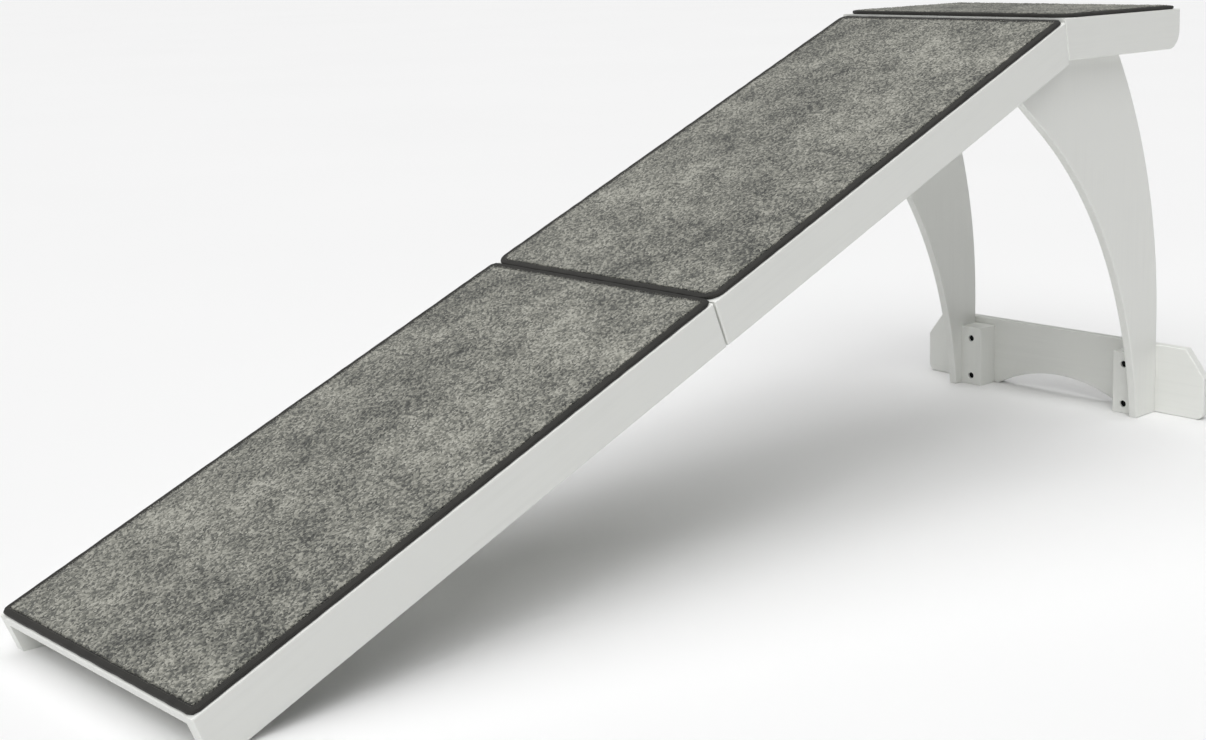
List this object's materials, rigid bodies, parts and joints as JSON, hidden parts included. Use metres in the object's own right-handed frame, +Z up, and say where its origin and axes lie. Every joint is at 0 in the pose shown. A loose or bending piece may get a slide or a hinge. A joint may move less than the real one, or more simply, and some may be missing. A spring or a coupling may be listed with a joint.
{
  "type": "dog ramp",
  "caption": "Free-standing wooden ramp with carpeted slope, a level top platform on curved legs with a foot brace, and a fold at mid slope.",
  "frame": {"origin": "on the floor, in the middle of the overall box", "axes": "+X up the ramp towards the platform, +Y to the left of a dog walking up, +Z up"},
  "size_m": [1.7558, 0.526, 0.6388],
  "materials": {
    "painted_wood": "satin white paint over sanded wood",
    "carpet": "heather grey cut pile",
    "edge_tape": "charcoal woven binding tape",
    "black_bolt": "black oxide",
    "zinc_steel": "bright zinc plate",
    "zinc_insert": "yellow zinc plate",
    "dowel_beech": "bare beech"
  },
  "bodies": {
    "upper_frame": {"block_dowels": "dowel_beech", "brace_bolts": "black_bolt", "brace_inserts": "zinc_insert", "foot_brace": "painted_wood", "hinge_pins": "zinc_steel", "leg_block_left": "painted_wood", "leg_block_right": "painted_wood", "leg_bolts": "black_bolt", "leg_inserts": "zinc_insert", "leg_left": "painted_wood", "leg_right": "painted_wood", "leg_spacers": "zinc_steel", "platform_back_rail": "painted_wood", "platform_carpet": "carpet", "platform_carpet_tape": "edge_tape", "platform_deck": "painted_wood", "platform_dowels": "dowel_beech", "platform_front_rail": "painted_wood", "platform_rail_left": "painted_wood", "platform_rail_right": "painted_wood", "ridge_bolts": "zinc_steel", "ridge_dowels": "dowel_beech", "ridge_nuts": "zinc_steel", "ridge_rail": "painted_wood", "ridge_washers": "zinc_steel", "upper_batten": "painted_wood", "upper_carpet": "carpet", "upper_carpet_tape": "edge_tape", "upper_deck": "painted_wood", "upper_deck_screws": "zinc_steel", "upper_dowels": "dowel_beech", "upper_hinge_leaf_left": "zinc_steel", "upper_hinge_leaf_right": "zinc_steel", "upper_hinge_rail": "painted_wood", "upper_hinge_screws": "zinc_steel", "upper_rail_left": "painted_wood", "upper_rail_right": "painted_wood"},
    "lower_ramp": {"lower_batten": "painted_wood", "lower_carpet": "carpet", "lower_carpet_tape": "edge_tape", "lower_deck": "painted_wood", "lower_deck_screws": "zinc_steel", "lower_dowels": "dowel_beech", "lower_hinge_leaf_left": "zinc_steel", "lower_hinge_leaf_right": "zinc_steel", "lower_hinge_rail": "painted_wood", "lower_hinge_screws": "zinc_steel", "lower_rail_left": "painted_wood", "lower_rail_right": "painted_wood", "toe_batten": "painted_wood"}
  },
  "joints": [
    {"name": "mid_fold", "type": "hinge", "parent": "upper_frame", "child": "lower_ramp", "pos_m": [-0.13497, 0, 0.27509], "axis": [0, -1, 0], "range_deg": [0, 165]}
  ]
}
